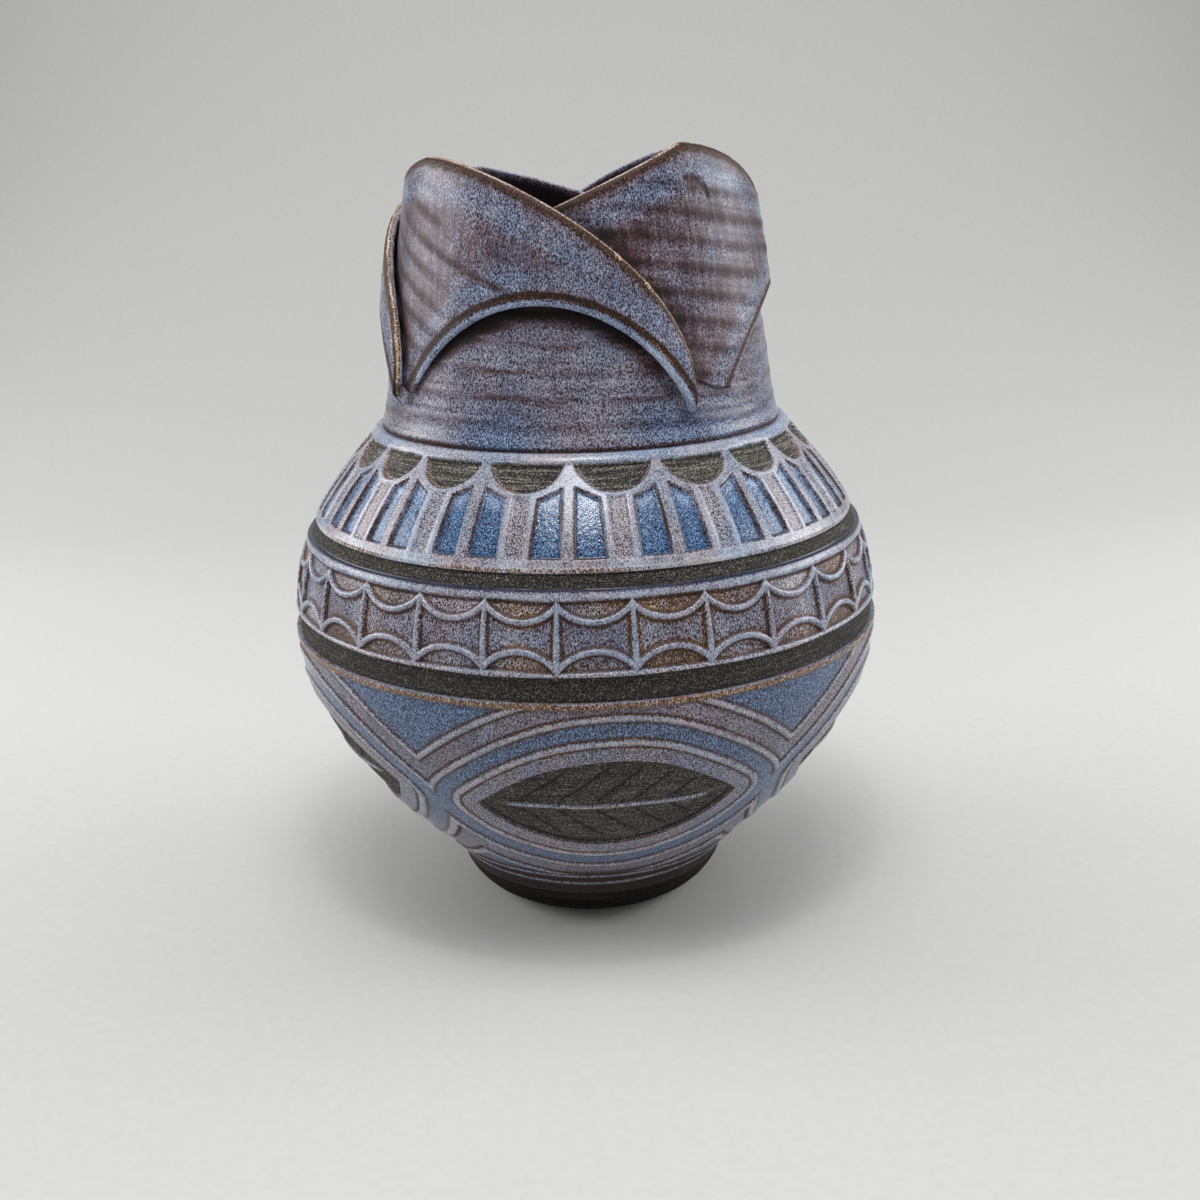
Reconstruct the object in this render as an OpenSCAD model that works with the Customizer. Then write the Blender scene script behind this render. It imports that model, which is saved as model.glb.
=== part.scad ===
// Stoneware vase: a thrown and carved body on a turned foot ring, with a collar neck
// and a rim of four hand-cut petals that lap over one another like a closing bud.
// Millimetres, +Z up, origin at the centre of the foot's underside, front petal towards -Y.

/* [Foot ring] */
// Height of the foot ring
foot_h = 13; // [9:0.5:16]
// Outer radius of the foot ring where it meets the body
foot_top_r = 45.5; // [42:0.5:50]
// Outer radius of the face that the vase stands on
foot_base_r = 34; // [32:0.5:38]
// Radius of the hollow inside the foot ring
foot_hollow_r = 26; // [20:0.5:29]
// Softened edge around the standing face
foot_edge = 1.2; // [0.5:0.1:2]

/* [Body] */
// Greatest radius of the belly
belly_r = 95; // [85:0.5:108]
// Height of the belly's widest ring above the table
belly_z = 97; // [88:0.5:108]
// Width of the ledge that the shoulder leaves outside the collar
shoulder_ledge = 1.2; // [0.4:0.1:5]
// Height of the shoulder rim above the table
shoulder_z = 160.5; // [150:0.5:175]
// Slope of the shoulder where it reaches the rim, in degrees from level
shoulder_slope = 48; // [38:1:58]
// Thickness of the body wall
body_wall = 6; // [4:0.25:8]
// Thickness of the floor
floor_t = 7; // [5:0.5:10]

/* [Bare clay stripes] */
// Height of the upper stripe's lower edge
upper_stripe_z = 128.4; // [120:0.2:134]
// Width of the upper stripe
upper_stripe_w = 4.3; // [2:0.1:8]
// Height of the lower stripe's lower edge
lower_stripe_z = 98.2; // [92:0.2:104]
// Width of the lower stripe
lower_stripe_w = 7.4; // [3:0.1:12]
// Depth that both stripes are cut into the wall
stripe_depth = 1.2; // [0.4:0.1:2.5]

/* [Carving] */
// Depth of the carved pockets, at their middle
carve_depth = 1.1; // [0.4:0.1:2]

/* [Shoulder carving] */
// Number of bare half-discs around the shoulder, each with a column and two windows below it
disc_count = 19; // [14:1:21]
// Drop from the shoulder rim to the half-discs' straight edge
disc_fall = 2.2; // [1:0.1:4]
// Gap between two half-discs along their straight edges
disc_gap = 2.4; // [1.5:0.1:6]
// Depth of a half-disc down the skin
disc_drop = 9.4; // [5:0.1:10]
// Width of the column below each half-disc
column_w = 9; // [5:0.1:11]
// Width of the bar between two windows
bar_w = 3.3; // [1.5:0.1:5]
// Length down the skin from the half-discs' straight edge to a window's top at its bar
window_bar_fall = 7.3; // [6:0.1:9]
// Length down the skin from the half-discs' straight edge to a window's top at its column
window_column_fall = 11; // [10.5:0.1:15]
// Height of the windows' sill above the upper stripe
sill_rise = 3.2; // [1.5:0.1:6]

/* [Panel carving] */
// Number of panels around the belly
panel_count = 28; // [20:1:32]
// Width of the ridges between the panels and along the swags and arches
panel_ridge = 2.4; // [1:0.1:3]
// Width of the rail between the panels and the upper stripe
upper_rail_w = 2.4; // [1:0.1:3]
// Width of the rail between the panels and the lower stripe
lower_rail_w = 1.6; // [1:0.1:3]
// Depth of the pocket above a swag
swag_drop = 4.3; // [3:0.1:5.5]
// Height of the pocket below an arch
arch_rise = 4.1; // [3:0.1:5.5]

/* [Leaf carving] */
// Number of bare leaves around the lower belly
leaf_count = 5; // [4:1:6]
// Length of a leaf, straight from tip to tip
leaf_l = 74; // [50:1:82]
// Height of a leaf
leaf_h = 35; // [20:0.5:44]
// Drop from the lower stripe to the leaves' middle
leaf_fall = 36; // [30:0.5:42]

/* [Neck collar] */
// Outer radius of the collar where it sits on the shoulder
collar_base_r = 63.8; // [61:0.1:65]
// Outer radius of the collar's waist
collar_waist_r = 58.8; // [57:0.1:61]
// Outer radius of the collar's thin top edge, behind the petals
collar_top_r = 52; // [50:0.1:54]
// Height of the collar
collar_h = 46; // [40:0.5:52]
// Thickness of the collar wall at the shoulder
collar_wall = 6; // [4:0.25:8]
// Thickness of the collar's top edge
collar_edge = 1.2; // [0.8:0.1:2.5]

/* [Petals] */
// Thickness of a petal
petal_t = 3.2; // [2.4:0.1:4]
// Thickness of the lower corner that is pressed on the collar
petal_pressed_t = 1.3; // [0.9:0.1:2]
// Radius of the petals' outer face at the shoulder, halfway along a petal
petal_low_r = 63; // [61:0.1:66]
// Radius of the petals' outer face at the rim, halfway along a petal
petal_high_r = 51.2; // [48:0.1:56]
// Gap between two petals where one laps over the other
lap_gap = 0.8; // [0.4:0.1:2]
// Slip seam between a petal and the collar
slip_seam = 0.3; // [0.1:0.05:0.6]
// Height of the crescent cut-out's crown above the shoulder
crescent_h = 39.5; // [34:0.1:43]
// Height of a petal's pressed corner above the shoulder
corner_h = 14; // [12:0.5:18]

/* [Front petal] */
// Height of its peak above the shoulder
front_peak = 80; // [72:0.5:88]
// Drop from its peak to the hidden start of its top edge
front_drop = 12.5; // [8:0.5:22]
// Height of its tip above the shoulder
front_tip = 6.5; // [4:0.5:11]

/* [Right petal] */
// Height of its peak above the shoulder
right_peak = 82; // [72:0.5:88]
// Drop from its peak to the hidden start of its top edge
right_drop = 20; // [8:0.5:22]
// Height of its tip above the shoulder
right_tip = 7; // [4:0.5:11]

/* [Back petal] */
// Height of its peak above the shoulder
back_peak = 83; // [72:0.5:88]
// Drop from its peak to the hidden start of its top edge
back_drop = 17; // [8:0.5:22]
// Height of its tip above the shoulder
back_tip = 8; // [4:0.5:11]

/* [Left petal] */
// Height of its peak above the shoulder
left_peak = 78; // [72:0.5:88]
// Drop from its peak to the hidden start of its top edge
left_drop = 12.5; // [8:0.5:22]
// Height of its tip above the shoulder
left_tip = 10; // [4:0.5:11]

/* [Hidden] */
$fn = 128;

bare_clay = "#3a3733";
carved_glaze = "#8a93b8";
collar_glaze = "#8088a6";
petal_glaze = "#7f83a2";

// Belly outline: two curves that meet at the widest ring
foot_rise = 10;
low_pull = 44;
high_pull = 30;
shoulder_pull = 28;
shoulder_r = collar_base_r + shoulder_ledge;
belly_low = [
    [foot_top_r, foot_h],
    [foot_top_r, foot_h + foot_rise],
    [belly_r, belly_z - low_pull],
    [belly_r, belly_z]
];
belly_high = [
    [belly_r, belly_z],
    [belly_r, belly_z + high_pull],
    [shoulder_r + shoulder_pull * cos(shoulder_slope), shoulder_z - shoulder_pull * sin(shoulder_slope)],
    [shoulder_r, shoulder_z]
];
floor_z = foot_h + floor_t;

// Heights of the carved bands
disc_z = shoulder_z - disc_fall;
sill_z = upper_stripe_z + upper_stripe_w + sill_rise;
panel_top_z = upper_stripe_z - upper_rail_w;
panel_low_z = lower_stripe_z + lower_stripe_w + lower_rail_w;
leaf_z = lower_stripe_z - leaf_fall;
// Turn of each band's first unit from the front. The bars were spaced by eye, so that their
// spacing swings wider and narrower three times around
bar_turn = -1.9;
bar_swing = 2.2;
swing_lobes = 3;
swing_turn = 3;
panel_turn = 2.2;
leaf_turn = 4;
// Length that a cut reaches out of the skin, and radius that the leaf cuts start from
cut_clear = 3;
leaf_core_r = belly_r / 2;

// Collar outline: a waist below, leaning in to a thin edge behind the petals
collar_low_pull = 11.5;
collar_high_pull = 15;
collar_lean = 2;
collar_top_z = shoulder_z + collar_h;
collar_out = [
    [collar_base_r, shoulder_z],
    [collar_waist_r, shoulder_z + collar_low_pull],
    [collar_waist_r + collar_lean, collar_top_z - collar_high_pull],
    [collar_top_r, collar_top_z]
];
collar_in = [
    [collar_base_r - collar_wall, shoulder_z],
    [collar_waist_r - collar_wall, shoulder_z + collar_low_pull],
    [collar_waist_r + collar_lean - collar_wall, collar_top_z - collar_high_pull],
    [collar_top_r - collar_edge, collar_top_z]
];

// Foot outline: handles of its rounded side, from the standing face and from the body
foot_low_handle = [6, 1.5];
foot_high_handle = [-1.5, -5];

// Hand-cut differences of the petals: turn around the neck and angle of the pressed corner
// from the petal's own front, then the bow of the rising top edge
front_angles = [0, -52];
right_angles = [91, -45.5];
back_angles = [187, -50];
left_angles = [272, -50];
front_bow = 2.2;
right_bow = 0;
back_bow = 0.8;
left_bow = 1.6;

// Angles along a petal from its own front, and handles of its edge curves in degrees along
// and millimetres up or down from their ends
start_angle = -106;
peak_angle = -54;
tip_angle = 30.9;
rise_handle_angle = (peak_angle - start_angle) / 3;
side_from_angle = 18;
side_from_fall = 14;
side_to_angle = -24;
side_to_rise = 2;
lip_from_angle = 38.5;
lip_from_fall = 1.2;
lip_to_angle = 8.4;
lip_to_rise = 40;
crescent_from_angle = 28;
crescent_to_angle = -13.6;
// The left handle of the crescent stands higher than the right one by twice this
crescent_tilt = 5;

// Petals lean in with height, and each winds outward by its own thickness and the lap gap
// before the next one passes under it
lean_power = 1.35;
rim_h = max(front_peak, right_peak, back_peak, left_peak);
lap_turn = 88;
wind_angle = -98;
wind_inset = 2.2;
wind_span = 120;
wind_per_degree = (petal_t + lap_gap) / lap_turn;

function bezier(p, t) =
    pow(1 - t, 3) * p[0] + 3 * pow(1 - t, 2) * t * p[1] + 3 * (1 - t) * t * t * p[2] + pow(t, 3) * p[3];
function bezier_slope(p, t) =
    3 * pow(1 - t, 2) * (p[1] - p[0]) + 6 * (1 - t) * t * (p[2] - p[1]) + 3 * t * t * (p[3] - p[2]);
function mix(a, b, s) = a + (b - a) * s;
function smooth(s) = let (c = min(1, max(0, s))) c * c * (3 - 2 * c);

// Belly outline at t: 0 at the foot, 1 at the widest ring, 2 at the shoulder, set in by a depth
function belly_curve(t) = t < 1 ? belly_low : belly_high;
function belly_part(t) = t < 1 ? t : t - 1;
function skin(t, depth) =
    let (slope = bezier_slope(belly_curve(t), belly_part(t)))
    bezier(belly_curve(t), belly_part(t)) - depth * [slope[1], -slope[0]] / norm(slope);
function skin_at(z, depth, low = 0, high = 2, steps = 32) =
    let (middle = (low + high) / 2)
    steps == 0 ? middle
    : skin(middle, depth)[1] < z ? skin_at(z, depth, middle, high, steps - 1)
    : skin_at(z, depth, low, middle, steps - 1);
function stretch(t0, t1, depth, count) = [for (i = [0:count]) skin(mix(t0, t1, i / count), depth)];

// Radius of the skin at a height, and its unit direction upward there: [outward, up]
function skin_r(z) = skin(skin_at(z, 0), 0)[0];
function skin_way(z) =
    let (t = skin_at(z, 0), slope = bezier_slope(belly_curve(t), belly_part(t)))
    slope / norm(slope);

// Collar radius at a height
function collar_t(z, low = 0, high = 1, steps = 28) =
    let (middle = (low + high) / 2)
    steps == 0 ? middle
    : bezier(collar_out, middle)[1] < z ? collar_t(z, middle, high, steps - 1)
    : collar_t(z, low, middle, steps - 1);
function collar_face(z) = z > collar_top_z ? 0 : bezier(collar_out, collar_t(z))[0];

// Petal faces at an angle and a height above the shoulder. The petal's tip is pressed thin on
// the collar, and both faces come free of it by the height of the next petal's corner
function petal_lean(h) = mix(petal_low_r, petal_high_r, pow(max(0, h) / rim_h, lean_power));
function petal_wind(a) = wind_per_degree * min(a - wind_angle, wind_span) - wind_inset;
function petal_seat(h) = collar_face(shoulder_z + h) + slip_seam;
function petal_free(h, tip) = smooth((h - tip) / (corner_h - tip));
function petal_full(a, h) = max(petal_lean(h) + petal_wind(a), petal_seat(h) + petal_pressed_t);
function petal_outer(a, h, tip) =
    mix(petal_seat(h) + petal_pressed_t, petal_full(a, h), petal_free(h, tip));
function petal_inner(a, h, tip) =
    mix(petal_seat(h), max(petal_seat(h), petal_full(a, h) - petal_t), petal_free(h, tip));

// A curve's four points, from its two ends and the handles at them
function curve(a, from, to, b) = [a, a + from, b + to, b];

module foot_ring() {
    side = curve([foot_base_r, foot_edge], foot_low_handle, foot_high_handle, [foot_top_r, foot_h]);
    color(bare_clay)
    rotate_extrude()
    polygon(concat(
        [[foot_hollow_r + foot_edge, 0], [foot_base_r - foot_edge, 0]],
        [for (i = [0:10]) bezier(side, i / 10)],
        [[foot_hollow_r, foot_h], [foot_hollow_r, foot_edge]]
    ));
}

// Places an outline on the skin at a turn and a height, x along the ring and y up the skin,
// and makes a flat-bottomed cut of it
module cut_at(turn, z) {
    floor_point = skin(skin_at(z, 0), carve_depth);
    way = skin_way(z);
    rotate([0, 0, turn])
    translate([0, -floor_point[0], floor_point[1]])
    rotate([atan2(way[1], -way[0]), 0, 0])
    linear_extrude(carve_depth + cut_clear)
    children();
}

// The circle that hangs by a drop below a straight edge of that width on the X axis
module hung_circle(width, drop, grow = 0) {
    r = (width * width / 4 + drop * drop) / (2 * drop);
    translate([0, r - drop]) circle(r + grow);
}

// Its part below the straight edge
module half_disc(width, drop) {
    intersection() {
        hung_circle(width, drop);
        translate([-width, -2 * drop]) square([2 * width, 2 * drop]);
    }
}

// One window beside a column, from the sill up to a slanting top. half is the angle from the
// column's middle to the bar's
module window_cut(turn, half, side) {
    steep = skin_way(disc_z)[1];
    bar_z = disc_z - window_bar_fall * steep;
    column_z = disc_z - window_column_fall * steep;
    middle_z = (sill_z + column_z) / 2;
    rise = skin_way(middle_z)[1];
    function at_column(z) = asin(column_w / 2 / skin_r(z));
    function at_bar(z) = half - asin(bar_w / 2 / skin_r(z));
    middle = (at_column(middle_z) + at_bar(middle_z)) / 2;
    function corner(angle, z) = [side * skin_r(z) * sin(angle - middle), (z - middle_z) / rise];
    cut_at(turn + side * middle, middle_z)
    polygon([
        corner(at_column(sill_z), sill_z),
        corner(at_bar(sill_z), sill_z),
        corner(at_bar(bar_z), bar_z),
        corner(at_column(column_z), column_z)
    ]);
}

// Half-discs between the bars, hung over columns and windows
module shoulder_cuts() {
    middle_z = disc_z - disc_drop / 2 * skin_way(disc_z)[1];
    function even(i) = bar_turn + i * 360 / disc_count;
    function bar_at(i) = even(i) + bar_swing * sin(swing_lobes * (even(i) - swing_turn));
    for (i = [0:disc_count - 1]) {
        turn = (bar_at(i) + bar_at(i + 1)) / 2;
        half = (bar_at(i + 1) - bar_at(i)) / 2;
        width = 2 * skin_r(disc_z) * sin(half) - disc_gap;
        cut_at(turn, middle_z) translate([0, disc_drop / 2]) half_disc(width, disc_drop);
        for (side = [-1, 1]) window_cut(turn, half, side);
    }
}

// Panels: each has a pocket above its swag, a pocket below its arch, and the field between
module panel_cuts() {
    middle_z = (panel_top_z + panel_low_z) / 2;
    half_h = (panel_top_z - panel_low_z) / 2;
    width = 2 * skin_r(middle_z) * sin(180 / panel_count) - panel_ridge;
    for (i = [0:panel_count - 1])
        cut_at(panel_turn + i * 360 / panel_count, middle_z) {
            translate([0, half_h]) half_disc(width, swag_drop);
            translate([0, -half_h]) rotate(180) half_disc(width, arch_rise);
            difference() {
                square([width, 2 * (half_h - panel_ridge)], center = true);
                translate([0, half_h]) hung_circle(width, swag_drop, panel_ridge);
                translate([0, -half_h]) rotate(180) hung_circle(width, arch_rise, panel_ridge);
            }
        }
}

// Pointed leaves, cut to an even depth around the lower belly
module leaf_cuts() {
    r = (leaf_l * leaf_l + leaf_h * leaf_h) / (4 * leaf_h);
    low = skin_at(leaf_z - leaf_h / 2 - cut_clear, 0);
    high = skin_at(leaf_z + leaf_h / 2 + cut_clear, 0);
    intersection() {
        rotate_extrude()
        polygon(concat(stretch(low, high, carve_depth, 10), stretch(high, low, -cut_clear, 10)));
        for (i = [0:leaf_count - 1])
            rotate([90, 0, leaf_turn + i * 360 / leaf_count])
            translate([0, leaf_z, leaf_core_r])
            linear_extrude(belly_r - leaf_core_r + cut_clear)
            intersection_for (side = [-1, 1]) {
                translate([0, side * (r - leaf_h / 2)]) circle(r);
            }
    }
}

module body() {
    low_a = skin_at(lower_stripe_z, 0);
    low_b = skin_at(lower_stripe_z + lower_stripe_w, 0);
    high_a = skin_at(upper_stripe_z, 0);
    high_b = skin_at(upper_stripe_z + upper_stripe_w, 0);
    outside = concat(
        stretch(0, low_a, 0, 26),
        stretch(low_a, low_b, stripe_depth, 4),
        stretch(low_b, high_a, 0, 9),
        stretch(high_a, high_b, stripe_depth, 3),
        stretch(high_b, 2, 0, 12)
    );
    inside = stretch(2, skin_at(floor_z, body_wall), body_wall, 40);
    color(carved_glaze)
    difference() {
        rotate_extrude()
        polygon(concat(
            outside,
            [[collar_base_r - collar_wall, shoulder_z]],
            inside,
            [[0, floor_z], [0, foot_h]]
        ));
        shoulder_cuts();
        panel_cuts();
        leaf_cuts();
    }
}

module neck_collar() {
    color(collar_glaze)
    rotate_extrude()
    polygon(concat(
        [for (i = [0:24]) bezier(collar_out, i / 24)],
        [for (i = [24:-1:0]) bezier(collar_in, i / 24)]
    ));
}

// A petal is lofted along the neck between its lower and upper edges. Each edge point is
// [angle, height above the shoulder]. Each station is a closed loop from the lower edge,
// up the outer face, over the rounded lip and down the inner face.
module petal(angles, bow, peak, drop, tip) {
    start_count = 16;
    free_count = 28;
    face_count = 10;
    start_point = [start_angle, peak - drop];
    peak_point = [peak_angle, peak];
    corner_point = [angles[1], corner_h];
    tip_point = [tip_angle, tip];
    top_rise = curve(
        start_point,
        [rise_handle_angle, drop / 3 + bow],
        [-rise_handle_angle, bow - drop / 3],
        peak_point
    );
    side_edge = curve(
        start_point,
        [side_from_angle, -side_from_fall],
        [side_to_angle, side_to_rise],
        corner_point
    );
    lip = curve(
        peak_point,
        [lip_from_angle, -lip_from_fall],
        [lip_to_angle, lip_to_rise],
        tip_point
    );
    // The crescent's crown lies at an eighth of the sum of its ends and three times its handles
    crescent_pull = (crescent_h * 8 - corner_h - tip) / 6;
    crescent = curve(
        corner_point,
        [crescent_from_angle, crescent_pull + crescent_tilt - corner_h],
        [crescent_to_angle, crescent_pull - crescent_tilt - tip],
        tip_point
    );
    stations = concat(
        [for (i = [1:start_count]) [bezier(side_edge, i / start_count), bezier(top_rise, i / start_count)]],
        [for (i = [1:free_count - 1]) [bezier(crescent, i / free_count), bezier(lip, i / free_count)]]
    );
    function spot(p, side) =
        let (
            outer = petal_outer(p[0], p[1], tip),
            inner = petal_inner(p[0], p[1], tip),
            r = (outer + inner) / 2 + side * (outer - inner) / 2
        )
        [r * sin(p[0]), -r * cos(p[0]), shoulder_z + p[1]];
    // Steps across a station: share of its height and share of the full thickness.
    // Each edge is half round, with one step partway round it
    round_height = 0.3;
    round_width = 0.7;
    function steps(height) =
        let (edge = min(petal_t / 2, height / 4) / height)
        concat(
            [[edge * round_height, round_width]],
            [for (j = [0:face_count]) [mix(edge, 1 - edge, j / face_count), 1]],
            [[1 - edge * round_height, round_width]]
        );
    function ring(s) =
        let (
            across = steps(s[1][1] - s[0][1]),
            last = len(across) - 1
        )
        concat(
            [spot(s[0], 0)],
            [for (k = across) spot(mix(s[0], s[1], k[0]), k[1])],
            [spot(s[1], 0)],
            [for (j = [last:-1:0]) spot(mix(s[0], s[1], across[j][0]), -across[j][1])]
        );
    rings = [for (s = stations) ring(s)];
    size = len(rings[0]);
    count = len(rings);
    points = concat(
        [for (ring_points = rings) each ring_points],
        [spot(start_point, 0), spot(tip_point, 0)]
    );
    first = count * size;
    sides = [for (i = [0:count - 2], j = [0:size - 1])
        let (a = i * size + j, b = i * size + (j + 1) % size)
        each [[a, b, a + size], [b, b + size, a + size]]];
    start_fan = [for (j = [0:size - 1]) [first, (j + 1) % size, j]];
    tip_fan = [for (j = [0:size - 1])
        [first + 1, (count - 1) * size + j, (count - 1) * size + (j + 1) % size]];
    color(petal_glaze)
    rotate([0, 0, angles[0]])
    polyhedron(points, concat(sides, start_fan, tip_fan));
}

module petal_front() { petal(front_angles, front_bow, front_peak, front_drop, front_tip); }
module petal_right() { petal(right_angles, right_bow, right_peak, right_drop, right_tip); }
module petal_back() { petal(back_angles, back_bow, back_peak, back_drop, back_tip); }
module petal_left() { petal(left_angles, left_bow, left_peak, left_drop, left_tip); }

foot_ring();
body();
neck_collar();
petal_front();
petal_right();
petal_back();
petal_left();
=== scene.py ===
import functools
import math
from collections import namedtuple

import bpy
import numpy as np
from mathutils import Matrix


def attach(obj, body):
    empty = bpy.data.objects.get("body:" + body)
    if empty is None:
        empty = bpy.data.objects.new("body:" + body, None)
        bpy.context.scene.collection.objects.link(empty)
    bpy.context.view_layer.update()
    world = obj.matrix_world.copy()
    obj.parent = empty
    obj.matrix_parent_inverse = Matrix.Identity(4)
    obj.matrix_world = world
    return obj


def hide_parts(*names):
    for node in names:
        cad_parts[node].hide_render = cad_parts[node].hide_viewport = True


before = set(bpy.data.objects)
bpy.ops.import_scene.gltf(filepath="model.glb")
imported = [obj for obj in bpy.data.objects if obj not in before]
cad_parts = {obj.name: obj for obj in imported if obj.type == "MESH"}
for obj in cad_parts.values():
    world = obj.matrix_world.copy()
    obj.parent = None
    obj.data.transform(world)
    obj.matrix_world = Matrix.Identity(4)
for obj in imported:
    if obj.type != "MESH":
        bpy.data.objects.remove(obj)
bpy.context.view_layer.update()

# Sizes below are in millimetres. Angles are in degrees round the vase from its front, -Y,
# and grow to the right. The outlines repeat the part's own driving dimensions.
MM = 0.001
FOOT_H = 13
FOOT_TOP_R = 45.5
FOOT_BASE_R = 34
FOOT_HOLLOW_R = 26
FOOT_EDGE = 1.2
FOOT_LOW_HANDLE = (6, 1.5)
FOOT_HIGH_HANDLE = (-1.5, -5)
FOOT_RISE = 10
BELLY_R = 95
BELLY_Z = 97
LOW_PULL = 44
HIGH_PULL = 30
SHOULDER_Z = 160.5
BODY_WALL = 6
FLOOR_T = 7
COLLAR_BASE_R = 63.8
COLLAR_WAIST_R = 58.8
COLLAR_TOP_R = 52
COLLAR_H = 46
COLLAR_WALL = 6
COLLAR_EDGE = 1.2
COLLAR_LOW_PULL = 11.5
COLLAR_HIGH_PULL = 15
COLLAR_LEAN = 2
SHOULDER_LEDGE = 1.2
SHOULDER_R = COLLAR_BASE_R + SHOULDER_LEDGE
SHOULDER_SLOPE = math.radians(48)
SHOULDER_PULL = 28
COLLAR_TOP_Z = SHOULDER_Z + COLLAR_H
BELLY_LOW = [
    (FOOT_TOP_R, FOOT_H),
    (FOOT_TOP_R, FOOT_H + FOOT_RISE),
    (BELLY_R, BELLY_Z - LOW_PULL),
    (BELLY_R, BELLY_Z),
]
BELLY_HIGH = [
    (BELLY_R, BELLY_Z),
    (BELLY_R, BELLY_Z + HIGH_PULL),
    (
        SHOULDER_R + SHOULDER_PULL * math.cos(SHOULDER_SLOPE),
        SHOULDER_Z - SHOULDER_PULL * math.sin(SHOULDER_SLOPE),
    ),
    (SHOULDER_R, SHOULDER_Z),
]
COLLAR_OUT = [
    (COLLAR_BASE_R, SHOULDER_Z),
    (COLLAR_WAIST_R, SHOULDER_Z + COLLAR_LOW_PULL),
    (COLLAR_WAIST_R + COLLAR_LEAN, COLLAR_TOP_Z - COLLAR_HIGH_PULL),
    (COLLAR_TOP_R, COLLAR_TOP_Z),
]
FOOT_SIDE = [
    (FOOT_BASE_R, FOOT_EDGE),
    (FOOT_BASE_R + FOOT_LOW_HANDLE[0], FOOT_EDGE + FOOT_LOW_HANDLE[1]),
    (FOOT_TOP_R + FOOT_HIGH_HANDLE[0], FOOT_H + FOOT_HIGH_HANDLE[1]),
    (FOOT_TOP_R, FOOT_H),
]

# Bands of the body, by height
LOWER_STRIPE = (98.2, 105.6)
UPPER_STRIPE = (128.4, 132.7)
STRIPE_DEPTH = 1.2


# Small helpers for shapes

def smooth(x, low, high):
    """Rises from 0 at low to 1 at high with soft ends."""
    s = np.clip((x - low) / (high - low), 0, 1)
    return s * s * (3 - 2 * s)


def mix(a, b, s):
    """From a at 0 to b at 1."""
    return a + (b - a) * s


def line(distance, width, soft=0.3):
    """1 on a line of that width around distance 0, with soft flanks."""
    return 1 - smooth(np.abs(distance), width / 2 - soft, width / 2 + soft)


def least(*values):
    """Smallest of some arrays, point by point."""
    return functools.reduce(np.minimum, values)


def most(*values):
    """Largest of some arrays, point by point."""
    return functools.reduce(np.maximum, values)


def bezier(points, t):
    """Points of a cubic curve with four control points."""
    a, b, c, d = (np.asarray(p, float) for p in points)
    t = np.asarray(t, float)[..., None]
    return (1 - t) ** 3 * a + 3 * (1 - t) ** 2 * t * b + 3 * (1 - t) * t * t * c + t**3 * d


def wander(seed, phi, z, reach, turns=(2, 3, 5, 7), rise=30):
    """A slow hand-made drift over the surface, closed round the vase."""
    draw = np.random.default_rng(seed)
    total = 0
    for count in turns:
        tilt, start = draw.uniform(-1, 1), draw.uniform(0, 2 * math.pi)
        total = total + np.sin(np.radians(count * phi) + tilt * z / rise + start)
    return reach * total / len(turns)


def repeat(phi, count, phase):
    """Offset in degrees from the middle of the nearest of count equal units."""
    pitch = 360 / count
    return (phi - phase + pitch / 2) % pitch - pitch / 2


def angle_from(phi, turn):
    """Angle from a turn round the vase, between -180 and 180."""
    return (phi - turn + 180) % 360 - 180


def all_round(columns):
    """Angles of even columns round the vase, as one row."""
    return np.linspace(0, 360, columns, endpoint=False)[None, :]


class Outline:
    """A smooth profile of radius and height, read by height or by length along it."""

    def __init__(self, *curves, count=1500):
        t = np.linspace(0, 1, count)
        points = np.concatenate([bezier(c, t)[(i > 0):] for i, c in enumerate(curves)])
        self.r, self.z = points.T
        step = np.gradient(points, axis=0)
        step /= np.linalg.norm(step, axis=1)[:, None]
        self.out_r, self.out_z = step[:, 1], -step[:, 0]
        lengths = np.hypot(np.diff(self.r), np.diff(self.z))
        self.length = np.concatenate([[0], np.cumsum(lengths)])

    def rows(self, z_low, z_high, step):
        """Points and outward normals at even steps between two heights."""
        ends = np.interp([z_low, z_high], self.z, self.length)
        at = np.linspace(*ends, int(math.ceil((ends[1] - ends[0]) / step)) + 1)
        pick = [np.interp(at, self.length, v) for v in (self.r, self.z, self.out_r, self.out_z)]
        return (*pick, at)

    def radius(self, z):
        return np.interp(z, self.z, self.r)


BELLY = Outline(BELLY_LOW, BELLY_HIGH)
COLLAR = Outline(COLLAR_OUT)


# Meshes

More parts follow.
